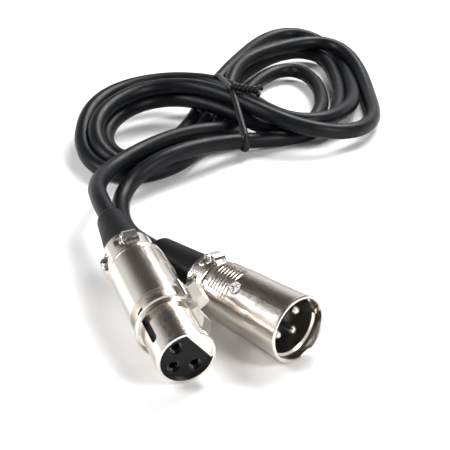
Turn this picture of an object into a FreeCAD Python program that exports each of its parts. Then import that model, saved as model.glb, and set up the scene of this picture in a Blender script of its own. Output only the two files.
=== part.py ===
import FreeCAD, Part
import math
import os

# Microphone cable with one female and one male three-pole XLR connector, wound into a
# figure-of-eight hank that a twist tie holds at its crossing.  Millimetres, +Z up.
# The origin is on the floor, under the middle of the two connectors; -Y is the front.
#
# Each connector is drawn in its own frame: x runs back from the front rim along the axis,
# z points to the latch side and y completes the right-handed set.  Angles round the axis
# are in degrees from z towards y.

V = FreeCAD.Vector

# ---------------------------------------------------------------- driving dimensions
# where each connector lies: middle of the front rim, heading, pitch and roll
FEMALE_FRONT = V(-3.0, -31.66, 8.5)
FEMALE_ANGLES = (21.3, -3.7, -51.6)
MALE_FRONT = V(25.8, -20.56, 9.5)
MALE_ANGLES = (41.35, 2.7, 34.9)

# three-pole contact layout, the same in both connectors
CONTACT_CIRCLE_R = 4.07
PIN_R = 1.2
PIN_SEAT_R = 1.45
SOCKET_BORE_R = 1.25
SOCKET_R = 1.75
CONTACT_ANGLES_FEMALE = (90.0, 180.0, -90.0)
CONTACT_ANGLES_MALE = (-90.0, 180.0, 90.0)

# cable
CABLE_R = 3.0
CORE_R = 0.6
CORE_CIRCLE_R = 1.25

# female connector
NOSE_R = 8.0
NOSE_WAIST_R = 7.85
NOSE_BORE_R = 7.1
NOSE_LIP_X = 1.2
COLLAR_X = 20.0
COLLAR_END_X = 27.0
COLLAR_R = 8.25
FLAT_Z = 4.15
KEY_ANGLE_FEMALE = 112.0
KEY_SLOT_W = 2.2
KEY_SLOT_X = 4.7
F_SHELL_X = 12.6
F_SHELL_END_X = 43.0
F_SHELL_GAP_R = 8.9
F_SHELL_BORE_R = 7.1
F_CLAMP_END_X = 50.0
F_SEAMS = (55.0, 155.0)
F_BOOT_X = 39.0
F_BOOT_END_X = 69.5
LATCH_HALF_W = 1.7
LATCH_SLOT_HALF_W = 2.0
LATCH_SLOT_FLOOR_Z = 5.3
LATCH_PIVOT = (24.0, 6.6)
LATCH_PIN_R = 0.6
F_SET_SCREW_X = 23.5
F_CLAMP_SCREW_X = 46.8
SPRING_X = 16.0
SPRING_FLOOR_Z = 4.6
SPRING_TOP_Z = 6.3

# male connector
M_SHELL_BORE_R = 8.1
M_SHELL_END_X = 31.5
M_INSULATOR_X = 15.0
M_INSULATOR_END_X = 24.0
M_REAR_BORE_R = 6.6
KEY_ANGLE_MALE = -112.0
PIN_TIP_X = 4.0
M_CLAMP_END_X = 37.0
M_SEAMS = (-43.0, 57.0)
M_BOOT_END_X = 59.0
M_SET_SCREW_X = 18.8
M_SET_ANGLE = 3.0
M_SET_SEAT_R = 7.6
M_SET_HEAD_R = 1.75
M_SET_SHANK_R = 1.0
M_CLAMP_SCREW_X = 34.6

# both cable clamps
CLAMP_BORE_R = 5.0
CLAMP_RING_R = 7.2
SADDLE_R = 7.9
EAR_R = 9.0
EAR_T = 1.9
EAR_CORNER_R = 2.3
CLAMP_SCREW_RADIUS = 7.5
CLAMP_SCREW_R = 0.8
CLAMP_HEAD_R = 1.5
CLAMP_HEAD_T = 1.0

# routes of the two loose ends, from the boot into the hank
FEMALE_LEAD_ROUTE = [(-33.1, 45.4, 13.4), (-35.5, 59.0, 11.5), (-33.5, 73.0, 9.5), (-27.5, 85.0, 9.0)]
MALE_LEAD_ROUTE = [(-20.0, 31.5, 6.0), (-25.0, 42.0, 4.6), (-27.8, 55.0, 3.4), (-28.3, 65.5, 3.4),
                   (-25.0, 75.0, 5.8), (-17.0, 82.0, 9.0)]

# hank: heights of its right lobe, its left lobe and the pile where they cross
RIGHT_LOBE_TOP_Z = 11.5
LEFT_LOBE_TOP_Z = 14.5
CROSSING_TOP_Z = 19.0

# twist tie round the crossing: its two ends on the floor, and its wire
TIE_FRONT = V(14.0, 105.0, 0)
TIE_BACK = V(1.0, 159.5, 0)
TIE_W = 2.4
TIE_T = 0.9
TIE_CORNER_R = 4.0
TIE_SPACE = 0.1


# ---------------------------------------------------------------- shapes in a connector's frame
def outward(angle):
    """Unit vector square to the axis, at an angle from z towards y."""
    a = math.radians(angle)
    return V(0, math.sin(a), math.cos(a))


def rod(x_start, x_end, radius, centre=V(0, 0, 0)):
    """Cylinder along the axis."""
    return Part.makeCylinder(radius, x_end - x_start, V(x_start, 0, 0) + centre, V(1, 0, 0))


def tube(x_start, x_end, outer_r, inner_r):
    """Hollow cylinder along the axis."""
    return rod(x_start, x_end, outer_r).cut(rod(x_start, x_end, inner_r))


def turned(profile):
    """Solid of revolution about the axis, from (x, r) corners."""
    corners = [V(x, 0, r) for x, r in profile]
    face = Part.Face(Part.makePolygon(corners + corners[:1]))
    return face.revolve(V(0, 0, 0), V(1, 0, 0), 360)


def sector(x_start, x_end, inner_r, outer_r, angle_start, angle_end):
    """Part of a ring between two angles."""
    corners = [V(x_start, 0, inner_r), V(x_end, 0, inner_r), V(x_end, 0, outer_r), V(x_start, 0, outer_r)]
    face = Part.Face(Part.makePolygon(corners + corners[:1]))
    face.rotate(V(0, 0, 0), V(-1, 0, 0), angle_start)
    return face.revolve(V(0, 0, 0), V(-1, 0, 0), angle_end - angle_start)


def block(x_start, x_end, y_start, y_end, z_start, z_end):
    """Box along the three local directions."""
    return Part.makeBox(x_end - x_start, y_end - y_start, z_end - z_start, V(x_start, y_start, z_start))


def radial_rod(x, angle, inner_r, outer_r, radius):
    """Cylinder that points straight out from the axis."""
    out = outward(angle)
    return Part.makeCylinder(radius, outer_r - inner_r, V(x, 0, 0) + out * inner_r, out)


def side_plate(corners, half_width):
    """Plate of the given side view, (x, z) corners, as wide as twice half_width along y."""
    points = [V(x, -half_width, z) for x, z in corners]
    face = Part.Face(Part.makePolygon(points + points[:1]))
    return face.extrude(V(0, 2 * half_width, 0))


def fused(first, *others):
    """One clean solid out of several."""
    return first.multiFuse(list(others)).removeSplitter()


def contact_places(angles):
    """The contacts' places round the axis."""
    return [outward(angle) * CONTACT_CIRCLE_R for angle in angles]


# ---------------------------------------------------------------- bent round bars
def bent_bar(points, radius):
    """Round bar along straight runs joined by tangent arcs.  Returns it with its length and radii."""
    edges = []
    radii = []
    start = points[0]
    for before, corner, after in zip(points, points[1:], points[2:]):
        way_in = (corner - before).normalize()
        way_out = (after - corner).normalize()
        half_turn = way_in.getAngle(way_out) / 2
        setback = 0.45 * min((corner - before).Length, (after - corner).Length)
        arc_r = setback / math.tan(half_turn)
        arc_start = corner - way_in * setback
        arc_end = corner + way_out * setback
        to_middle = (way_out - way_in).normalize()
        arc_middle = corner + to_middle * (arc_r / math.cos(half_turn) - arc_r)
        edges.append(Part.LineSegment(start, arc_start).toShape())
        edges.append(Part.Arc(arc_start, arc_middle, arc_end).toShape())
        radii.append(arc_r)
        start = arc_end
    edges.append(Part.LineSegment(start, points[-1]).toShape())
    path = Part.Wire(edges)
    section = Part.Wire(Part.makeCircle(radius, points[0], points[1] - points[0]))
    return path.makePipeShell([section], True, False), path.Length, radii


def cord_tube(name, points, radius):
    """A cord's tube, with its bends and its volume printed against section times length."""
    solid, length, radii = bent_bar(points, radius)
    wanted = math.pi * radius ** 2 * length
    print(name, "length", round(length, 1), "radii", [round(r) for r in radii],
          "volume over section times length", round(solid.Volume / wanted, 4))
    return solid


# ---------------------------------------------------------------- pieces that both connectors have
def cross_head(x, angle, seat_r, head_r, head_height, shank_r, shank_end_r):
    """Screw that points to the axis, with a domed head and a cross recess."""
    shank = radial_rod(x, angle, shank_end_r, seat_r, shank_r)
    head = radial_rod(x, angle, seat_r, seat_r + head_height, head_r)
    screw = shank.fuse(head)
    slot_depth = 0.45 * head_height
    slots = cross_slots(head_r, slot_depth)
    slots.rotate(V(0, 0, 0), V(-1, 0, 0), angle)
    slots.translate(V(x, 0, 0) + outward(angle) * (seat_r + head_height - slot_depth))
    return screw.cut(slots)


def cross_slots(head_r, depth):
    """Cross recess that opens upwards from z = 0."""
    reach = 0.62 * head_r
    half_slot = 0.14 * head_r
    one = block(-reach, reach, -half_slot, half_slot, 0, 2 * depth)
    other = block(-half_slot, half_slot, -reach, reach, 0, 2 * depth)
    return one.fuse(other)


def ear(x_start, x_end, seam, side):
    """Block beside a clamp seam; side is +1 towards larger angles and -1 towards smaller."""
    inner_r = CLAMP_BORE_R + 0.8
    low_y, high_y = sorted((0.0, side * EAR_T))
    shape = block(x_start, x_end, low_y, high_y, inner_r, EAR_R)
    edges = [e for e in shape.Edges if abs(e.BoundBox.ZMin - EAR_R) < 1e-6 and e.BoundBox.YLength > 1]
    shape = shape.makeFillet(EAR_CORNER_R, edges)
    shape.rotate(V(0, 0, 0), V(-1, 0, 0), seam)
    return shape


def clamp_screw_axis(x, seam):
    """Point on the seam and the direction of the screw that crosses it."""
    point = V(x, 0, 0) + outward(seam) * CLAMP_SCREW_RADIUS
    across = outward(seam + 90)
    return point, across


def clamp_ring(x_start, x_end, seams):
    """The shell's fixed part of the cable clamp, from the second seam round to the first."""
    first, second = seams
    ring = sector(x_start, x_end, CLAMP_BORE_R, CLAMP_RING_R, second, first + 360)
    ring = fused(ring, ear(x_start, x_end, first, -1), ear(x_start, x_end, second, 1))
    return ring.cut(rod(x_start, x_end, CLAMP_BORE_R))


def clamp_saddle(x_start, x_end, seams):
    """The loose strap of the cable clamp, between its two seams."""
    first, second = seams
    strap = sector(x_start, x_end, CLAMP_BORE_R, SADDLE_R, first, second)
    strap = fused(strap, ear(x_start, x_end, first, 1), ear(x_start, x_end, second, -1))
    return strap.cut(rod(x_start, x_end, CLAMP_BORE_R))


def clamp_screw(x, seam, side):
    """Pan-head screw across a seam; its head lies on the saddle's ear."""
    point, across = clamp_screw_axis(x, seam)
    head_way = across * side
    shank_start = point - head_way * EAR_T
    shank = Part.makeCylinder(CLAMP_SCREW_R, 2 * EAR_T, shank_start, head_way)
    head_start = point + head_way * EAR_T
    head = Part.makeCylinder(CLAMP_HEAD_R, CLAMP_HEAD_T, head_start, head_way)
    rim = [e for e in head.Edges if e.Length > 9 and (e.CenterOfMass - head_start).Length > 0.9]
    head = head.makeFillet(0.4, rim)
    driver_slot = block(-0.25, 0.25, -1.6, 1.6, 0, 1.0)
    turn = FreeCAD.Rotation(V(0, 0, 1), head_way)
    driver_slot.Placement = FreeCAD.Placement(head_start + head_way * 0.55, turn)
    return shank.fuse(head).cut(driver_slot)


def clamp_screws(x, seams):
    """Both screws of a clamp, as two solids."""
    return [clamp_screw(x, seams[0], 1), clamp_screw(x, seams[1], -1)]


def clamp_screw_holes(x, seams):
    """What the two shanks take out of the ears, and the spot faces under their heads."""
    holes = []
    for seam, side in zip(seams, (1, -1)):
        point, across = clamp_screw_axis(x, seam)
        holes.append(Part.makeCylinder(CLAMP_SCREW_R, 2 * EAR_T, point - across * EAR_T, across))
        head_way = across * side
        holes.append(Part.makeCylinder(CLAMP_HEAD_R + 0.15, 3.0, point + head_way * EAR_T, head_way))
    return holes[0].multiFuse(holes[1:])


def boot(x_start, x_clamp_end, x_end, front_r, rear_r):
    """Rubber sleeve on the cable: a straight plug in the clamp, then a tapered tail."""
    profile = [(x_start, CABLE_R), (x_start, CLAMP_BORE_R), (x_clamp_end, CLAMP_BORE_R),
               (x_clamp_end, front_r - 0.4), (x_clamp_end + 0.4, front_r),
               (x_end - 1.2, rear_r), (x_end - 0.4, rear_r - 0.35), (x_end, rear_r - 1.2), (x_end, CABLE_R)]
    return turned(profile)


def core_wire(angle, cup_end_x, jacket_x):
    """One core from its solder cup back to the cut end of the jacket."""
    cup = outward(angle) * CONTACT_CIRCLE_R
    core = outward(angle) * CORE_CIRCLE_R
    straight = 2.2
    points = [V(cup_end_x - 2.0, 0, 0) + cup, V(cup_end_x + straight, 0, 0) + cup,
              V(jacket_x - straight, 0, 0) + core, V(jacket_x, 0, 0) + core]
    wire, _length, _radii = bent_bar(points, CORE_R)
    return wire


def grip_ridges(x_first, count, pitch, radius_at, angle_start, angle_end):
    """Raised bars round part of a shell, for the fingers."""
    ridges = []
    for number in range(count):
        x = x_first + number * pitch
        surface_r = radius_at(x)
        ridges.append(sector(x, x + 0.55 * pitch, surface_r - 0.4, surface_r + 0.3, angle_start, angle_end))
    return ridges


# ---------------------------------------------------------------- female connector
def female_shell_radius(x):
    """Outer radius of the female shell behind its lip."""
    return 8.75 - 0.45 * (x - 16.0) / (F_SHELL_END_X - 16.0)


def make_female_shell():
    front_r = female_shell_radius(16.0)
    rear_r = female_shell_radius(41.0)
    outer = turned([(F_SHELL_X, 0), (F_SHELL_X, 9.1), (F_SHELL_X + 0.3, 9.35), (14.2, 9.3), (16.0, front_r),
                    (41.0, rear_r), (41.4, 8.0), (41.8, 8.0), (42.1, 8.35), (F_SHELL_END_X, 8.3),
                    (F_SHELL_END_X, 0)])
    shoulder = block(15.0, 22.5, -3.4, 3.4, 6.0, 9.4)
    top_edges = [e for e in shoulder.Edges if e.BoundBox.ZMin > 9.3]
    shoulder = shoulder.makeFillet(0.8, top_edges)
    ridges = grip_ridges(33.0, 6, 1.25, female_shell_radius, -35, 28)
    shell = fused(outer, shoulder, *ridges)
    shell = shell.cut(rod(0, COLLAR_X, F_SHELL_GAP_R))
    shell = shell.cut(rod(COLLAR_X, COLLAR_END_X, COLLAR_R))
    shell = shell.cut(rod(COLLAR_END_X, F_SHELL_END_X - 2.5, F_SHELL_BORE_R))
    shell = shell.cut(rod(0, 60, CLAMP_BORE_R))
    shell = shell.cut(block(0, 20.0, -LATCH_SLOT_HALF_W, LATCH_SLOT_HALF_W, 0, 20))
    shell = fused(shell, clamp_ring(F_SHELL_END_X, F_CLAMP_END_X, F_SEAMS))
    shell = shell.cut(clamp_screw_holes(F_CLAMP_SCREW_X, F_SEAMS))
    return shell.cut(radial_rod(F_SET_SCREW_X, 180, 6, 12, 1.2))


def latch_clearance():
    """Slot in the nose for the latch lever."""
    return block(2.2, 28.0, -LATCH_SLOT_HALF_W, LATCH_SLOT_HALF_W, LATCH_SLOT_FLOOR_Z, 12)


def make_female_nose():
    sleeve = turned([(0, NOSE_BORE_R), (0, NOSE_R - 0.3), (0.3, NOSE_R), (NOSE_LIP_X, NOSE_R),
                     (NOSE_LIP_X + 0.2, NOSE_WAIST_R), (COLLAR_X, NOSE_WAIST_R), (COLLAR_X, COLLAR_R),
                     (COLLAR_END_X, COLLAR_R), (COLLAR_END_X, NOSE_BORE_R)])
    crescent = rod(0.8, COLLAR_END_X, NOSE_BORE_R).common(block(0, 30, -9, 9, FLAT_Z, 9))
    nose = fused(sleeve, crescent)
    nose = nose.cut(latch_clearance())
    nose = nose.cut(Part.makeCylinder(1.5, 3, V(SPRING_X, 0, SPRING_FLOOR_Z)))
    pivot_x, pivot_z = LATCH_PIVOT
    nose = nose.cut(Part.makeCylinder(LATCH_PIN_R, 20, V(pivot_x, -10, pivot_z), V(0, 1, 0)))
    slot = block(KEY_SLOT_X + KEY_SLOT_W / 2, 18.0, -KEY_SLOT_W / 2, KEY_SLOT_W / 2, 6, 9)
    slot = slot.fuse(Part.makeCylinder(KEY_SLOT_W / 2, 9, V(KEY_SLOT_X + KEY_SLOT_W / 2, 0, 0)))
    slot.rotate(V(0, 0, 0), V(-1, 0, 0), KEY_ANGLE_FEMALE)
    nose = nose.cut(slot)
    return nose.cut(radial_rod(F_SET_SCREW_X, 180, 6, 12, 1.2))


def make_female_insulator():
    body = rod(0.8, 21.0, NOSE_BORE_R).cut(block(0, 30, -9, 9, FLAT_Z, 9))
    for place in contact_places(CONTACT_ANGLES_FEMALE):
        body = body.cut(rod(0, 30, SOCKET_R, place))
    return body


def make_female_sockets():
    sockets = []
    for place in contact_places(CONTACT_ANGLES_FEMALE):
        socket = fused(rod(2.0, 21.0, SOCKET_R, place), rod(21.0, 27.0, 1.3, place))
        socket = socket.cut(rod(2.0, 13.0, SOCKET_BORE_R, place))
        sockets.append(socket.cut(rod(25.0, 27.0, CORE_R, place)))
    return sockets


def make_latch_lever():
    side = [(3.0, 6.75), (3.0, 7.7), (6.0, 9.9), (10.6, 9.3), (10.6, 7.7), (12.7, 7.7), (12.7, 12.1), (13.1, 12.3),
            (18.6, 12.6), (19.0, 12.2), (19.0, 7.4), (26.0, 7.4), (26.0, 5.9), (22.0, 5.9)]
    lever = side_plate(side, LATCH_HALF_W)
    pivot_x, pivot_z = LATCH_PIVOT
    lever = lever.cut(Part.makeCylinder(LATCH_PIN_R + 0.04, 10, V(pivot_x, -5, pivot_z), V(0, 1, 0)))
    return lever.cut(Part.makeCylinder(1.35, SPRING_TOP_Z - 4, V(SPRING_X, 0, 4)))


def make_latch_spring():
    wire_r = 0.14
    mean_r = 1.0
    height = SPRING_TOP_Z - SPRING_FLOOR_Z - 2 * wire_r - 0.03
    helix = Part.makeHelix(height / 3.5, height, mean_r)
    section = Part.Wire(Part.makeCircle(wire_r, V(mean_r, 0, 0), V(0, 1, 0)))
    spring = Part.Wire(helix).makePipeShell([section], True, True)
    spring.translate(V(SPRING_X, 0, SPRING_FLOOR_Z + wire_r))
    return spring


def make_latch_pin():
    pivot_x, pivot_z = LATCH_PIVOT
    half = math.sqrt(COLLAR_R ** 2 - (pivot_z + LATCH_PIN_R) ** 2)
    return Part.makeCylinder(LATCH_PIN_R, 2 * half, V(pivot_x, -half, pivot_z), V(0, 1, 0))


def female_pieces():
    saddle = clamp_saddle(F_SHELL_END_X, F_CLAMP_END_X, F_SEAMS).cut(clamp_screw_holes(F_CLAMP_SCREW_X, F_SEAMS))
    pieces = {
        "female_shell": make_female_shell(),
        "female_nose": make_female_nose(),
        "female_insulator": make_female_insulator(),
        "female_sockets": make_female_sockets(),
        "latch_lever": make_latch_lever(),
        "latch_spring": make_latch_spring(),
        "latch_pin": make_latch_pin(),
        "female_set_screw": cross_head(F_SET_SCREW_X, 180, 8.1, 1.2, 0.5, 1.2, NOSE_BORE_R),
        "female_clamp_saddle": saddle,
        "female_clamp_screws": clamp_screws(F_CLAMP_SCREW_X, F_SEAMS),
        "female_boot": boot(F_BOOT_X, F_CLAMP_END_X, F_BOOT_END_X, 6.7, 4.5),
        "female_cable_end": rod(37.0, F_BOOT_END_X, CABLE_R),
    }
    for name, angle in zip(("shield", "hot", "cold"), CONTACT_ANGLES_FEMALE):
        pieces["female_wire_" + name] = core_wire(angle, 27.0, 37.0)
    return pieces


# ---------------------------------------------------------------- male connector
def male_shell_radius(x):
    """Outer radius of the male shell over its grip."""
    return 8.55 - 0.45 * (x - 20.0) / 8.0


def make_male_shell():
    outer = turned([(0, 0), (0, 9.3), (0.25, 9.5), (1.0, 9.42), (10.0, 8.85), (20.0, 8.55), (28.0, 8.1),
                    (30.6, 7.7), (M_SHELL_END_X, 7.2), (M_SHELL_END_X, 0)])
    ridges = grip_ridges(20.8, 7, 1.2, male_shell_radius, -42, 33)
    shell = fused(outer, *ridges)
    shell = shell.cut(turned([(0, 0), (0, 8.75), (0.25, 8.5), (1.0, 8.5), (1.2, 8.75), (3.0, 8.75), (3.4, 8.1),
                              (M_INSULATOR_END_X, 8.1), (M_INSULATOR_END_X, 0)]))
    shell = shell.cut(rod(M_INSULATOR_END_X, M_SHELL_END_X - 2.0, M_REAR_BORE_R))
    shell = shell.cut(rod(0, 60, CLAMP_BORE_R))
    key = block(1.5, 10.5, -0.8, 0.8, 7.5, 8.5)
    key.rotate(V(0, 0, 0), V(-1, 0, 0), KEY_ANGLE_MALE)
    shell = fused(shell, key, clamp_ring(M_SHELL_END_X, M_CLAMP_END_X, M_SEAMS))
    shell = shell.cut(clamp_screw_holes(M_CLAMP_SCREW_X, M_SEAMS))
    return shell.cut(radial_rod(M_SET_SCREW_X, M_SET_ANGLE, 7, 12, M_SET_HEAD_R + 0.15))


def make_male_insulator():
    body = rod(M_INSULATOR_X, M_INSULATOR_END_X, M_SHELL_BORE_R)
    for place in contact_places(CONTACT_ANGLES_MALE):
        body = body.cut(rod(0, 40, PIN_SEAT_R, place))
    body = body.cut(radial_rod(M_SET_SCREW_X, M_SET_ANGLE, 5.5, 12, M_SET_SHANK_R))
    return body.cut(radial_rod(M_SET_SCREW_X, M_SET_ANGLE, M_SET_SEAT_R, 12, M_SET_HEAD_R))


def make_male_pins():
    pins = []
    for place in contact_places(CONTACT_ANGLES_MALE):
        round_tip = 0.8
        pin = turned([(PIN_TIP_X, 0), (PIN_TIP_X, 0.4), (PIN_TIP_X + 0.25, 0.85), (PIN_TIP_X + round_tip, PIN_R),
                      (M_INSULATOR_X - 0.2, PIN_R), (M_INSULATOR_X - 0.2, PIN_SEAT_R), (29.0, PIN_SEAT_R),
                      (29.0, 0)])
        pin.translate(place)
        pins.append(pin.cut(rod(27.0, 29.0, CORE_R, place)))
    return pins


def male_pieces():
    saddle = clamp_saddle(M_SHELL_END_X, M_CLAMP_END_X, M_SEAMS).cut(clamp_screw_holes(M_CLAMP_SCREW_X, M_SEAMS))
    pieces = {
        "male_shell": make_male_shell(),
        "male_insulator": make_male_insulator(),
        "male_pins": make_male_pins(),
        "male_set_screw": cross_head(M_SET_SCREW_X, M_SET_ANGLE, M_SET_SEAT_R, M_SET_HEAD_R, 1.3,
                                     M_SET_SHANK_R, 5.5),
        "male_clamp_saddle": saddle,
        "male_clamp_screws": clamp_screws(M_CLAMP_SCREW_X, M_SEAMS),
        "male_boot": boot(M_SHELL_END_X, M_CLAMP_END_X, M_BOOT_END_X, 6.2, 5.0),
        "male_cable_end": rod(M_SHELL_END_X, M_BOOT_END_X, CABLE_R),
    }
    for name, angle in zip(("shield", "cold", "hot"), CONTACT_ANGLES_MALE):
        pieces["male_wire_" + name] = core_wire(angle, 29.0, M_SHELL_END_X)
    return pieces


# ---------------------------------------------------------------- cable
def closed_curve(points):
    """Face inside a smooth closed curve through points on the floor."""
    curve = Part.BSplineCurve()
    curve.interpolate([V(x, y, 0) for x, y in points], PeriodicFlag=True)
    return Part.Face(Part.Wire(curve.toShape()))


def make_hank(tie_space):
    """Outer shape of the hank: a figure of eight with an opening in each lobe."""
    right_lobe = [(14, 109), (34, 107), (52, 107), (63, 118), (69.5, 137), (70.5, 156), (67.5, 182), (58, 208),
                  (48, 228), (40, 230), (29, 224), (17, 204), (8, 184), (2, 164), (2, 140), (7, 122)]
    left_lobe = [(-2, 91), (8, 105), (14, 119), (13, 140), (4, 156), (-10, 157), (-26, 154), (-39, 144),
                 (-47, 130), (-49.5, 111), (-47, 94), (-40, 83), (-29, 76), (-14, 79)]
    right_opening = [(19, 144), (24, 160), (31, 171), (37, 171), (41, 155), (42, 138), (37, 127), (26, 129)]
    left_opening = [(-33, 104), (-30, 120), (-19, 130), (-10, 128), (-13, 115), (-21, 102), (-28, 95)]
    crossing = [(-4, 105), (12, 109), (21, 121), (16, 139), (8, 154), (-6, 156), (-16, 147), (-10, 135),
                (-6, 123)]
    hank = closed_curve(right_lobe).extrude(V(0, 0, RIGHT_LOBE_TOP_Z))
    hank = hank.fuse(closed_curve(left_lobe).extrude(V(0, 0, LEFT_LOBE_TOP_Z)))
    hank = hank.fuse(closed_curve(crossing).extrude(V(0, 0, CROSSING_TOP_Z)))
    for opening in (right_opening, left_opening):
        hank = hank.cut(closed_curve(opening).extrude(V(0, 0, CROSSING_TOP_Z)))
    return hank.cut(tie_space)


def tie_frame(grow):
    """Flat wire bent round the crossing, grown by an amount on every side."""
    length = (TIE_BACK - TIE_FRONT).Length
    height = CROSSING_TOP_Z + TIE_T
    width = TIE_W + 2 * grow
    rings = []
    for inset, radius in ((-grow, TIE_CORNER_R + grow), (TIE_T + grow, TIE_CORNER_R - TIE_T - grow)):
        ring = Part.makeBox(length - 2 * inset, width, height - 2 * inset, V(inset, -grow, inset))
        corners = [e for e in ring.Edges if e.BoundBox.YLength > width - 0.1]
        rings.append(ring.makeFillet(radius, corners))
    return rings[0].cut(rings[1])


def make_tie():
    """Tie round the crossing with its twisted ends, and the space that it takes from the hank."""
    along = TIE_BACK - TIE_FRONT
    across = V(along.y, -along.x, 0).normalize()
    tail_r = 1.3
    tail_length = 9.0
    tail_start = V(along.Length - 6.0, TIE_W / 2, CROSSING_TOP_Z + TIE_T - 0.4)
    tail = Part.makeCylinder(tail_r, tail_length, tail_start, V(-0.4, 0.85, 0.1))
    below = Part.makeBox(along.Length, tail_length, tail_r + TIE_T, V(0, 0, CROSSING_TOP_Z - tail_r))
    tie = tie_frame(0).fuse(tail.cut(below))
    space = tie_frame(TIE_SPACE)
    place = FreeCAD.Placement(TIE_FRONT + across * (TIE_W / 2), FreeCAD.Rotation(V(1, 0, 0), along))
    tie.Placement = place
    space.Placement = place
    return tie, space


# ---------------------------------------------------------------- placing and writing
def connector_matrix(front, angles):
    """Matrix from a connector's frame to the cable's frame."""
    heading, pitch, roll = (math.radians(a) for a in angles)
    forward = V(math.sin(heading) * math.cos(pitch), -math.cos(heading) * math.cos(pitch), math.sin(pitch))
    level = forward.cross(V(0, 0, 1)).normalize()
    upright = level.cross(forward)
    latch_way = upright * math.cos(roll) + level * math.sin(roll)
    side = forward.cross(latch_way)
    back = forward * -1
    return FreeCAD.Matrix(back.x, side.x, latch_way.x, front.x,
                          back.y, side.y, latch_way.y, front.y,
                          back.z, side.z, latch_way.z, front.z,
                          0, 0, 0, 1)


def write_node(name, shape):
    """One STEP file per node; a node may hold several separate solids."""
    solids = []
    for piece in shape if isinstance(shape, list) else [shape]:
        solids += piece.Solids
    whole = solids[0] if len(solids) == 1 else Part.makeCompound(solids)
    if not whole.isValid():
        print("not valid:", name)
    whole.exportStep(os.path.join("parts", name + ".step"))
    box = whole.BoundBox
    print(name, len(solids), "solid", round(whole.Volume, 1), "mm3",
          [round(v, 2) for v in (box.XMin, box.XMax, box.YMin, box.YMax, box.ZMin, box.ZMax)])


def moved(shape, matrix):
    """A piece, or a list of pieces, in the cable's frame."""
    if isinstance(shape, list):
        return [piece.transformed(matrix) for piece in shape]
    return shape.transformed(matrix)


def main():
    os.makedirs("parts", exist_ok=True)
    female_matrix = connector_matrix(FEMALE_FRONT, FEMALE_ANGLES)
    male_matrix = connector_matrix(MALE_FRONT, MALE_ANGLES)
    for name, shape in female_pieces().items():
        write_node(name, moved(shape, female_matrix))
    for name, shape in male_pieces().items():
        write_node(name, moved(shape, male_matrix))
    tie, tie_space = make_tie()
    write_node("cable_hank", make_hank(tie_space))
    write_node("twist_tie", tie)
    female_exit = female_matrix.multiply(V(F_BOOT_END_X, 0, 0))
    male_exit = male_matrix.multiply(V(M_BOOT_END_X, 0, 0))
    female_route = [female_exit] + [V(*p) for p in FEMALE_LEAD_ROUTE]
    male_route = [male_exit] + [V(*p) for p in MALE_LEAD_ROUTE]
    write_node("cable_lead_female", cord_tube("female lead", female_route, CABLE_R))
    write_node("cable_lead_male", cord_tube("male lead", male_route, CABLE_R))


main()
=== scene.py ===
import math

import bmesh
import bpy
import numpy as np
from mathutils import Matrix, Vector


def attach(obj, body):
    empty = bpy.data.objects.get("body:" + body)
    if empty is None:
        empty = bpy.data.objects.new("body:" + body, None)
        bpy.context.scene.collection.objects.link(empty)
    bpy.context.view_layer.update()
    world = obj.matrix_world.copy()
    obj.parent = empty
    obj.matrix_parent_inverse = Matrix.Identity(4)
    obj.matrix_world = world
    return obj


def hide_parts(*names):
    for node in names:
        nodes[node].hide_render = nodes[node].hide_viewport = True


# Microphone cable with XLR connectors, wound into a figure-of-eight hank.  Metres, +Z up,
# origin on the floor under the middle of the connectors, -Y is the front.

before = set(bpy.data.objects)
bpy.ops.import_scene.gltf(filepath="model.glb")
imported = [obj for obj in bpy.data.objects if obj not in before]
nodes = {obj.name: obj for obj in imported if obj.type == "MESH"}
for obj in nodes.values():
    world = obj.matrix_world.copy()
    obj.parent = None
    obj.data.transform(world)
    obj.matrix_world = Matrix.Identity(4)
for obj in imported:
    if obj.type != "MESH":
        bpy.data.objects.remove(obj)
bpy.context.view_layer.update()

UP = Vector((0, 0, 1))

# ---------------------------------------------------------------- the cable
CORD_D = 0.006
SPLINE_STEPS = 6
SECTION_STEPS = 5

# how the turns settle: stations along a turn, least spacing of two strands, height over the floor,
# then the share of each correction that one round makes
STATION_STEP = 0.009
REST_GAP = 0.00605
FLOOR_CLEARANCE = 0.00305
SETTLE_ROUNDS = 800
PUSH_SHARE = 0.6
PUSH_EASE = 0.9
STIFFNESS = 0.35
PULL_HOME = 0.04
NEIGHBOURS = 6
TINY = 1e-9

# the two loose ends, from each boot into the hank
FEMALE_LEAD = [
    (-0.02819, 0.03296, 0.01298), (-0.0331, 0.0454, 0.0134), (-0.0355, 0.059, 0.0115),
    (-0.0335, 0.073, 0.0095), (-0.0275, 0.085, 0.009)
]
MALE_LEAD = [
    (-0.01314, 0.02368, 0.00672), (-0.02, 0.0315, 0.006), (-0.025, 0.042, 0.0046),
    (-0.0278, 0.055, 0.0034), (-0.0283, 0.0655, 0.0034), (-0.025, 0.075, 0.0058), (-0.017, 0.082, 0.009)
]

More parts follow.
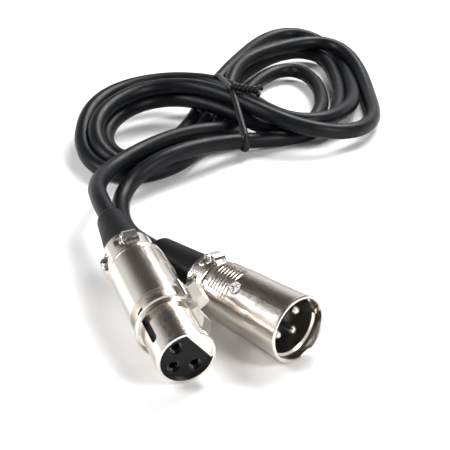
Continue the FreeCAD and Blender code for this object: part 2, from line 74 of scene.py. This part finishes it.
# each turn of the hank: where a leg of it ends (x, y, z) and how far it bows to its left
TURNS = [
    [(-0.014, 0.101, 0.0093, 0), (0.001, 0.11, 0.0093, 0), (0.0125, 0.122, 0.0035, -0.001),
     (0.012, 0.15, 0.0031, 0.001), (0.018, 0.163, 0.004, 0), (0.024, 0.176, 0.0045, 0.001),
     (0.03, 0.184, 0.0045, 0.001), (0.036, 0.187, 0.0045, 0.001), (0.041, 0.182, 0.0045, 0.001),
     (0.045, 0.171, 0.004, 0.0005), (0.045, 0.154, 0.004, 0.0005), (0.036, 0.1215, 0.0031, 0.0035),
     (0.028, 0.118, 0.0031, 0), (0.02, 0.1175, 0.0045, 0), (0.011, 0.121, 0.0092, 0),
     (-0.001, 0.1335, 0.0095, 0.0005), (-0.014, 0.141, 0.0095, 0.0005), (-0.038, 0.114, 0.007, -0.008),
     (-0.0365, 0.1, 0.0045, -0.001), (-0.03, 0.092, 0.0031, -0.0015), (-0.0215, 0.0925, 0.0031, -0.001),
     (-0.003, 0.141, 0.0031, -0.003)],
    [(0.009, 0.173, 0.0075, 0), (0.017, 0.198, 0.008, 0), (0.026, 0.216, 0.008, 0.0005),
     (0.037, 0.225, 0.008, 0.0005), (0.047, 0.223, 0.007, 0.001), (0.0575, 0.2, 0.004, 0.0015),
     (0.0585, 0.16, 0.0035, 0.001), (0.047, 0.124, 0.0075, 0.0035), (0.0415, 0.1175, 0.0088, 0),
     (0.0345, 0.1153, 0.0091, 0), (0.028, 0.1175, 0.0091, 0), (0.022, 0.1235, 0.0093, 0),
     (0.0175, 0.1315, 0.01, 0), (0.008, 0.147, 0.0115, -0.001), (-0.014, 0.153, 0.0125, 0.001),
     (-0.041, 0.137, 0.0115, -0.004), (-0.0445, 0.112, 0.0085, -0.0025),
     (-0.037, 0.0845, 0.0031, -0.004), (-0.026, 0.079, 0.0031, -0.003), (-0.003, 0.104, 0.0031, -0.002),
     (0.006, 0.134, 0.004, -0.001)],
    [(0.007, 0.156, 0.0095, 0), (0.015, 0.181, 0.0105, 0.0005), (0.034, 0.197, 0.0105, 0),
     (0.051, 0.207, 0.0095, 0.0005), (0.058, 0.203, 0.007, 0.0005), (0.062, 0.182, 0.004, 0.001),
     (0.064, 0.148, 0.0035, 0.002), (0.052, 0.111, 0.006, 0.007), (0.042, 0.1088, 0.0085, 0),
     (0.034, 0.109, 0.0103, 0), (0.025, 0.113, 0.012, 0), (0.012, 0.1225, 0.0152, 0),
     (-0.01, 0.1395, 0.0148, -0.001), (-0.034, 0.127, 0.0125, -0.005),
     (-0.0405, 0.104, 0.0095, -0.0035), (-0.035, 0.09, 0.005, -0.003), (-0.027, 0.0855, 0.0031, -0.002),
     (-0.009, 0.11, 0.0031, -0.003), (0.001, 0.139, 0.004, 0)],
    [(0.009, 0.172, 0.004, 0), (0.016, 0.184, 0.0045, 0), (0.031, 0.202, 0.005, 0.0005),
     (0.04, 0.21, 0.005, 0.0005), (0.047, 0.207, 0.0045, 0.0005), (0.053, 0.193, 0.0035, 0.0005),
     (0.054, 0.16, 0.0031, 0.001), (0.042, 0.122, 0.0031, 0.004), (0.027, 0.113, 0.0031, 0.001),
     (0.014, 0.1125, 0.0034, 0), (0.008, 0.1045, 0.0065, 0), (0, 0.095, 0.0088, 0),
     (-0.009, 0.088, 0.0092, 0)],
]


def leg_points(start, end, bow):
    """Points along one leg of a turn, bowed to the left of its way."""
    run = np.subtract(end, start)
    span = math.hypot(run[0], run[1])
    left = np.array([-run[1], run[0], 0]) / span
    count = max(1, round(span / STATION_STEP))
    shares = [k / count for k in range(1, count + 1)]
    return [np.add(start, run * share) + left * bow * 4 * share * (1 - share) for share in shares]


def turn_points():
    """The turns' points as they are listed, before they rest on one another."""
    points = []
    last = FEMALE_LEAD[-1]
    for turn in TURNS:
        for x, y, z, bow in turn:
            points += leg_points(last, (x, y, z), bow)
            last = (x, y, z)
    return points


def line_weights(count):
    """Rows that give places on the cable's spline from its control points."""
    rows = np.zeros((2 * (count - 2), count))
    for i in range(1, count - 1):
        rows[2 * i - 2, i - 1:i + 2] = (0.5, 0.5, 0)
        rows[2 * i - 1, i - 1:i + 2] = (0.125, 0.75, 0.125)
    return rows


def settled(points, loose):
    """The turns pushed apart to a cable's diameter, stiff along their length, on the floor."""
    home = points.copy()
    rows = line_weights(len(points))
    reach = rows.sum(axis=0)[:, None] + TINY
    order = np.arange(len(rows))
    apart = np.abs(order[:, None] - order[None, :]) > NEIGHBOURS
    for _ in range(SETTLE_ROUNDS):
        line = rows @ points
        way = line[:, None, :] - line[None, :, :]
        gap = np.linalg.norm(way, axis=2) + TINY
        push = np.where(apart & (gap < REST_GAP), PUSH_SHARE * (REST_GAP - gap) / gap, 0)
        shove = rows.T @ (push[:, :, None] * way).sum(axis=1)
        points = points + loose * PUSH_EASE * shove / reach
        bend = np.zeros_like(points)
        bend[2:-2] = (-points[:-4] + 4 * points[1:-3] - 6 * points[2:-2]
                      + 4 * points[3:-1] - points[4:]) / 6
        points = points + loose * (STIFFNESS * bend + PULL_HOME * (home - points))
        points[:, 2] = np.maximum(points[:, 2], FLOOR_CLEARANCE)
    return points


def cable_points():
    """Control points of the whole cable, from the female boot to the male boot."""
    turns = turn_points()
    points = np.array(FEMALE_LEAD + [tuple(p) for p in turns] + MALE_LEAD[::-1])
    loose = np.ones((len(points), 1))
    loose[:len(FEMALE_LEAD)] = 0
    loose[-len(MALE_LEAD):] = 0
    return settled(points, loose)


def make_cable():
    """The cable, one spline with a round section, and the places along its middle line."""
    data = bpy.data.curves.new("cable", "CURVE")
    data.dimensions = "3D"
    data.resolution_u = SPLINE_STEPS
    spline = data.splines.new("NURBS")
    points = cable_points()
    spline.points.add(len(points) - 1)
    for place, point in zip(spline.points, points):
        place.co = (*point, 1)
    spline.order_u = 3
    spline.use_endpoint_u = True
    cable = bpy.data.objects.new("cable", data)
    bpy.context.collection.objects.link(cable)
    line = bpy.data.meshes.new_from_object(cable)
    route = [v.co.copy() for v in line.vertices]
    bpy.data.meshes.remove(line)
    data.bevel_depth = CORD_D / 2
    data.bevel_resolution = SECTION_STEPS
    data.use_fill_caps = True
    return cable, route


# ---------------------------------------------------------------- twist tie
TIE_FRONT = Vector((0.0140, 0.1050, 0))
TIE_BACK = Vector((0.0010, 0.1595, 0))
TIE_HALF_W = 0.0013
TIE_CORE_R = 0.0007
TIE_WEB_HALF_T = 0.0002
TIE_GAP = 0.0006
TIE_REACH = (-0.006, 0.062)
TIE_STEPS = 140
RIM_STEPS = 24

# shares of the section's core and web where its corners are
CORE_SHOULDER = (0.85, 0.55)
WEB_EDGE = 0.9

# the two ends twisted round each other: where on the band, which way, and how they splay at the tip
KNOT_ALONG = 0.036
KNOT_PULL = 0.05
KNOT_LIFT = 1.2
TWIST_LENGTH = 0.011
TWIST_TURNS = 3.5
TWIST_R = 0.0008
TWIST_ACROSS = 0.85
TWIST_FORWARD = 0.4
TWIST_DOWN = 0.1
STRAND_STEPS = 60
STRAND_WIDTH = 0.6
SPLAY = 1.6
SPLAY_FROM = 0.8


def hull(points):
    """Convex outline round flat points, anticlockwise."""
    def cross(a, b, c):
        return (b[0] - a[0]) * (c[1] - a[1]) - (b[1] - a[1]) * (c[0] - a[0])

    def half(ordered):
        chain = []
        for p in ordered:
            while len(chain) > 1 and cross(chain[-2], chain[-1], p) <= 0:
                chain.pop()
            chain.append(p)
        return chain[:-1]

    ordered = sorted(points)
    return half(ordered) + half(ordered[::-1])


def even_loop(corners, count):
    """Places at equal steps round a closed outline."""
    ring = corners + corners[:1]
    reach = [0]
    for a, b in zip(ring, ring[1:]):
        reach.append(reach[-1] + math.dist(a, b))
    steps = [reach[-1] * k / count for k in range(count)]
    across = np.interp(steps, reach, [p[0] for p in ring])
    up = np.interp(steps, reach, [p[1] for p in ring])
    return list(zip(across, up))


def tie_outline(route, along, across):
    """Outline of the bundle where the tie's plane cuts it, as (way along the tie, height)."""
    radius = CORD_D / 2 + TIE_GAP
    spots = []
    for a, b in zip(route, route[1:]):
        side_a = (a - TIE_FRONT).dot(across)
        side_b = (b - TIE_FRONT).dot(across)
        if side_a * side_b < 0:
            spot = a.lerp(b, side_a / (side_a - side_b)) - TIE_FRONT
            spots.append((spot.dot(along), spot.z))
    angles = np.linspace(0, math.tau, RIM_STEPS, endpoint=False)
    rim = [(u + radius * math.cos(angle), max(TIE_CORE_R, z + radius * math.sin(angle)))
           for u, z in spots if TIE_REACH[0] < u < TIE_REACH[1] for angle in angles]
    return hull(rim)


def section(half_w, core_r, web_half_t):
    """Twist tie's section: a round core with a thin web on each side."""
    wide, high = (core_r * share for share in CORE_SHOULDER)
    edge = half_w * WEB_EDGE
    right = [(half_w, 0), (edge, web_half_t), (wide, high)]
    left = [(-wide, high), (-edge, web_half_t), (-half_w, 0)]
    upper = right + [(0, core_r)] + left
    return upper + [(x, -y) for x, y in upper[::-1]][1:-1]


def swept(name, path, sides, outline, closed):
    """A section carried along a path; sides give its wide way at each place."""
    count = len(path)
    bm = bmesh.new()
    rings = []
    for i, (place, side) in enumerate(zip(path, sides)):
        before = path[i - 1] if closed or i else place
        after = path[(i + 1) % count] if closed or i < count - 1 else place
        way = (after - before).normalized()
        wide = (side - way * side.dot(way)).normalized()
        thick = way.cross(wide)
        rings.append([bm.verts.new(place + wide * x + thick * y) for x, y in outline])
    pairs = list(zip(rings, rings[1:] + (rings[:1] if closed else [])))
    for ring, following in pairs:
        for k in range(len(ring)):
            m = (k + 1) % len(ring)
            bm.faces.new((ring[k], ring[m], following[m], following[k]))
    if not closed:
        bm.faces.new(rings[0][::-1])
        bm.faces.new(rings[-1])
    bmesh.ops.recalc_face_normals(bm, faces=bm.faces)
    data = bpy.data.meshes.new(name)
    bm.to_mesh(data)
    bm.free()
    data.shade_smooth()
    piece = bpy.data.objects.new(name, data)
    bpy.context.collection.objects.link(piece)
    return piece


def twist_strand(start, way, phase):
    """One of the two ends that are twisted round each other."""
    side = way.cross(UP).normalized()
    lift = side.cross(way)
    path = []
    for k in range(STRAND_STEPS + 1):
        share = k / STRAND_STEPS
        turn = math.tau * TWIST_TURNS * share + phase
        spread = TWIST_R * (1 + SPLAY * max(0, share - SPLAY_FROM) / (1 - SPLAY_FROM))
        outward = side * math.cos(turn) + lift * math.sin(turn)
        path.append(start + way * TWIST_LENGTH * share + outward * spread)
    return path


def make_tie(route):
    """Band round the crossing and its two twisted ends, as one piece."""
    along = (TIE_BACK - TIE_FRONT).normalized()
    across = Vector((along.y, -along.x, 0))
    loop = even_loop(tie_outline(route, along, across), TIE_STEPS)
    path = [TIE_FRONT + along * u + UP * z for u, z in loop]
    band_outline = section(TIE_HALF_W, TIE_CORE_R, TIE_WEB_HALF_T)
    band = swept("tie_band", path, [across] * len(path), band_outline, True)
    knot = max(path, key=lambda p: p.z - KNOT_PULL * abs((p - TIE_FRONT).dot(along) - KNOT_ALONG))
    start = knot + UP * TWIST_R * KNOT_LIFT
    way = (across * TWIST_ACROSS - along * TWIST_FORWARD - UP * TWIST_DOWN).normalized()
    strand_outline = section(TIE_HALF_W * STRAND_WIDTH, TIE_CORE_R, TIE_WEB_HALF_T)
    strands = [band]
    for index, phase in enumerate((0, math.pi)):
        strand = twist_strand(start, way, phase)
        sides = [across.cross(way)] * len(strand)
        strands.append(swept(f"tie_end_{index}", strand, sides, strand_outline, False))
    with bpy.context.temp_override(active_object=band, selected_editable_objects=strands):
        bpy.ops.object.join()
    band.name = "twist_tie_wire"
    return band


# ---------------------------------------------------------------- materials
# noise as (scale, detail), and the depth of a surface's grain in metres
METAL_CLOUD = (120, 3)
METAL_POLISH = (1700, 5)
METAL_POLISH_ROUGHNESS = 0.6
METAL_GRAIN = (3600, 2)
METAL_GRAIN_DEPTH = 0.00002
PLASTIC_CLOUD = (90, 4)
PLASTIC_POLISH = (300, 5)
PLASTIC_GRAIN_DETAIL = 4
PLASTIC_GRAIN_DEPTH = 0.00003


def new_material(name):
    """A material, its node tree and its shader."""
    material = bpy.data.materials.new(name)
    material.use_nodes = True
    return material, material.node_tree, material.node_tree.nodes["Principled BSDF"]


def noise(tree, scale, detail, roughness=0.5):
    """Noise over the object's own coordinates."""
    place = tree.nodes.new("ShaderNodeTexCoord")
    texture = tree.nodes.new("ShaderNodeTexNoise")
    texture.inputs["Scale"].default_value = scale
    texture.inputs["Detail"].default_value = detail
    texture.inputs["Roughness"].default_value = roughness
    tree.links.new(place.outputs["Object"], texture.inputs["Vector"])
    return texture.outputs["Fac"]


def ramp(tree, value, low, high, start=0.3, end=0.7):
    """Colours or greys between two ends of a value."""
    node = tree.nodes.new("ShaderNodeValToRGB")
    node.color_ramp.elements[0].position = start
    node.color_ramp.elements[1].position = end
    node.color_ramp.elements[0].color = low
    node.color_ramp.elements[1].color = high
    tree.links.new(value, node.inputs["Fac"])
    return node.outputs["Color"]


def grey(level):
    """A neutral colour."""
    return (level, level, level, 1)


def bump(tree, shader, height, distance, strength):
    """Fine relief on the shader's surface."""
    node = tree.nodes.new("ShaderNodeBump")
    node.inputs["Distance"].default_value = distance
    node.inputs["Strength"].default_value = strength
    tree.links.new(height, node.inputs["Height"])
    tree.links.new(node.outputs["Normal"], shader.inputs["Normal"])


def metal(name, dark, bright, rough_low, rough_high, grain):
    """Plated or bare metal with cloudy tone, uneven polish and fine grain."""
    material, tree, shader = new_material(name)
    shader.inputs["Metallic"].default_value = 1.0
    tone = ramp(tree, noise(tree, *METAL_CLOUD), dark, bright)
    tree.links.new(tone, shader.inputs["Base Color"])
    polish = noise(tree, *METAL_POLISH, METAL_POLISH_ROUGHNESS)
    tree.links.new(ramp(tree, polish, grey(rough_low), grey(rough_high)), shader.inputs["Roughness"])
    bump(tree, shader, noise(tree, *METAL_GRAIN), METAL_GRAIN_DEPTH, grain)
    return material


def plastic(name, dark, bright, rough_low, rough_high, grain_scale, grain, specular=0.5):
    """Moulded plastic or rubber with a fine skin."""
    material, tree, shader = new_material(name)
    tone = ramp(tree, noise(tree, *PLASTIC_CLOUD), dark, bright)
    tree.links.new(tone, shader.inputs["Base Color"])
    polish = noise(tree, *PLASTIC_POLISH)
    tree.links.new(ramp(tree, polish, grey(rough_low), grey(rough_high)), shader.inputs["Roughness"])
    bump(tree, shader, noise(tree, grain_scale, PLASTIC_GRAIN_DETAIL), PLASTIC_GRAIN_DEPTH, grain)
    shader.inputs["Specular IOR Level"].default_value = specular
    return material


NICKEL = metal("nickel_shell", (0.76, 0.71, 0.655, 1), (0.81, 0.765, 0.71, 1), 0.15, 0.27, 0.45)
CONTACT = metal("contact_silver", (0.74, 0.73, 0.70, 1), (0.86, 0.85, 0.83, 1), 0.12, 0.24, 0.15)
LATCH = metal("latch_plate", (0.76, 0.72, 0.67, 1), (0.82, 0.78, 0.73, 1), 0.3, 0.42, 0.35)
STEEL = metal("screw_steel", (0.52, 0.51, 0.50, 1), (0.66, 0.65, 0.63, 1), 0.2, 0.36, 0.3)
SPRING = metal("spring_steel", (0.42, 0.41, 0.40, 1), (0.55, 0.54, 0.52, 1), 0.22, 0.36, 0.2)
COPPER = metal("wire_copper", (0.70, 0.36, 0.20, 1), (0.85, 0.47, 0.28, 1), 0.25, 0.4, 0.3)
INSULATOR = plastic("black_insulator", (0.003, 0.003, 0.004, 1), (0.006, 0.006, 0.007, 1),
                    0.3, 0.45, 1500, 0.12, 0.15)
BOOT = plastic("boot_rubber", (0.003, 0.0033, 0.004, 1), (0.006, 0.0065, 0.0075, 1),
               0.42, 0.56, 1100, 0.3, 0.13)
JACKET = plastic("cable_jacket", (0.0025, 0.003, 0.004, 1), (0.005, 0.0057, 0.007, 1),
                 0.34, 0.46, 900, 0.22, 0.15)
TIE = plastic("tie_black", (0.003, 0.003, 0.004, 1), (0.006, 0.006, 0.007, 1),
              0.32, 0.45, 1300, 0.3, 0.25)
RED = plastic("wire_red", (0.42, 0.02, 0.015, 1), (0.52, 0.03, 0.02, 1), 0.35, 0.45, 1500, 0.1)
WHITE = plastic("wire_white", (0.70, 0.69, 0.66, 1), (0.80, 0.79, 0.76, 1), 0.35, 0.45, 1500, 0.1)

NODE_MATERIALS = {
    "shell": NICKEL, "nose": NICKEL, "clamp_saddle": NICKEL, "latch_lever": LATCH, "latch_pin": STEEL,
    "latch_spring": SPRING, "set_screw": STEEL, "clamp_screws": STEEL, "insulator": INSULATOR,
    "sockets": CONTACT, "pins": CONTACT, "boot": BOOT, "cable_end": JACKET, "wire_shield": COPPER,
    "wire_hot": RED, "wire_cold": WHITE,
}


def dress_nodes():
    """Every carried-over node gets the material that its name calls for."""
    for name, node in nodes.items():
        for ending, material in NODE_MATERIALS.items():
            if name.endswith(ending):
                node.data.materials.clear()
                node.data.materials.append(material)


# ---------------------------------------------------------------- floor, light and camera
FLOOR_HALF = 3.0
FLOOR_TONES = (0.86, 0.90)
FLOOR_NOISE = (3, 3)
FLOOR_ROUGHNESS = 0.6

# each light: its place, size and power
LIGHT_TARGET = (0.01, 0.06, 0)
LIGHTS = {
    "key": ((0.30, 0.60, 0.65), (0.50, 0.40), 10.5),
    "left": ((-0.65, -0.05, 0.55), (0.25, 0.60), 6.5),
    "right": ((0.60, -0.35, 0.50), (0.20, 0.45), 5.0),
}

SKY_LOW = (1.0, 1.0, 1.02, 1)
SKY_HIGH = (0.055, 0.045, 0.04, 1)
SKY_FADE = (0.22, 0.52)
SKY_STRENGTH = 0.8

CAMERA_AT = (0.0065, -0.24106, 0.1628)
CAMERA_PITCH = math.radians(61.0)
CAMERA_LENS = 82.4
CAMERA_SENSOR = 36


def make_floor():
    """A wide pale floor, kept out of the object."""
    data = bpy.data.meshes.new("floor")
    corners = [(-1, -1), (1, -1), (1, 1), (-1, 1)]
    data.from_pydata([(x * FLOOR_HALF, y * FLOOR_HALF, 0) for x, y in corners], [], [(0, 1, 2, 3)])
    floor = bpy.data.objects.new("floor", data)
    bpy.context.collection.objects.link(floor)
    material, tree, shader = new_material("pale_floor")
    tone = ramp(tree, noise(tree, *FLOOR_NOISE), *map(grey, FLOOR_TONES))
    tree.links.new(tone, shader.inputs["Base Color"])
    shader.inputs["Roughness"].default_value = FLOOR_ROUGHNESS
    data.materials.append(material)


def area_light(name, place, size, energy):
    """A soft rectangular light that looks at the object's middle."""
    data = bpy.data.lights.new(name, "AREA")
    data.shape = "RECTANGLE"
    data.size, data.size_y = size
    data.energy = energy
    lamp = bpy.data.objects.new(name, data)
    lamp.location = place
    way = Vector(LIGHT_TARGET) - Vector(place)
    lamp.rotation_euler = way.to_track_quat("-Z", "Y").to_euler()
    bpy.context.collection.objects.link(lamp)


def make_sky():
    """Studio surroundings: a bright sweep low down and a dark ceiling."""
    world = bpy.data.worlds.new("studio")
    bpy.context.scene.world = world
    world.use_nodes = True
    tree = world.node_tree
    place = tree.nodes.new("ShaderNodeTexCoord")
    split = tree.nodes.new("ShaderNodeSeparateXYZ")
    tree.links.new(place.outputs["Generated"], split.inputs["Vector"])
    tone = ramp(tree, split.outputs["Z"], SKY_LOW, SKY_HIGH, *SKY_FADE)
    tree.links.new(tone, tree.nodes["Background"].inputs["Color"])
    tree.nodes["Background"].inputs["Strength"].default_value = SKY_STRENGTH


def make_lights():
    """The three lamps and the surroundings."""
    for name, (place, size, energy) in LIGHTS.items():
        area_light(name, place, size, energy)
    make_sky()


def make_camera():
    """The camera, low in front of the connectors, and plain colours."""
    data = bpy.data.cameras.new("camera")
    data.lens = CAMERA_LENS
    data.sensor_width = CAMERA_SENSOR
    camera = bpy.data.objects.new("camera", data)
    camera.location = CAMERA_AT
    camera.rotation_euler = (CAMERA_PITCH, 0, 0)
    bpy.context.collection.objects.link(camera)
    bpy.context.scene.camera = camera
    bpy.context.scene.view_settings.view_transform = "Standard"


make_camera()
cable, route = make_cable()
cable.data.materials.append(JACKET)
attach(cable, "cable_and_connectors")
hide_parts("cable_hank", "cable_lead_female", "cable_lead_male")

tie = make_tie(route)
tie.data.materials.append(TIE)
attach(tie, "cable_and_connectors")
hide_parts("twist_tie")

dress_nodes()
make_floor()
make_lights()
